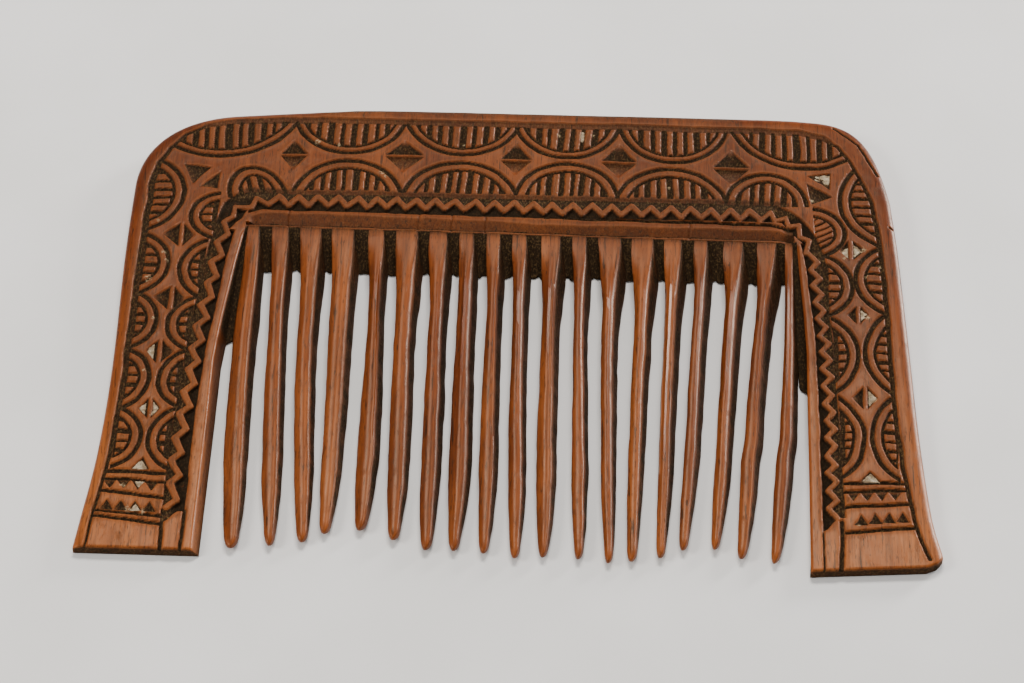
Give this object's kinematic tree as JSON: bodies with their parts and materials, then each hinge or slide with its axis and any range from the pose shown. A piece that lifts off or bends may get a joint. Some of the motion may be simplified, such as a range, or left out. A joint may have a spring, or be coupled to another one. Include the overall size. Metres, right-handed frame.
{
  "type": "decorative hair comb",
  "caption": "Carved one-piece wooden hair comb with a curved crown, broad guards and tapered teeth.",
  "frame": {"origin": "middle of the comb's outline, on the surface its flat back lies on", "axes": "+X across the comb from the left guard to the right one, +Y from the teeth towards the crown, +Z out of the carved face"},
  "size_m": [0.1646, 0.1154, 0.005],
  "materials": {
    "wood": "oiled and handled to a satin polish, grain along the teeth, dark dirt in the carving",
    "lime": "matte, crumbly cream-white lime fill"
  },
  "bodies": {
    "root": {"left_guard": "wood", "lime_crown_corner": "lime", "lime_crown_hatch": "lime", "lime_left_foot_lower": "lime", "lime_left_foot_upper": "lime", "lime_left_half_lozenge": "lime", "lime_left_lozenge_inner": "lime", "lime_left_lozenge_low": "lime", "lime_left_lozenge_outer": "lime", "lime_right_half_lozenge": "lime", "lime_right_lozenge_low": "lime", "lime_right_lozenge_middle": "lime", "lime_right_lozenge_top_inner": "lime", "lime_right_lozenge_top_outer": "lime", "right_guard": "wood", "spine": "wood", "tooth_01": "wood", "tooth_02": "wood", "tooth_03": "wood", "tooth_04": "wood", "tooth_05": "wood", "tooth_06": "wood", "tooth_07": "wood", "tooth_08": "wood", "tooth_09": "wood", "tooth_10": "wood", "tooth_11": "wood", "tooth_12": "wood", "tooth_13": "wood", "tooth_14": "wood", "tooth_15": "wood", "tooth_16": "wood", "tooth_17": "wood", "tooth_18": "wood", "tooth_19": "wood"}
  },
  "joints": []
}
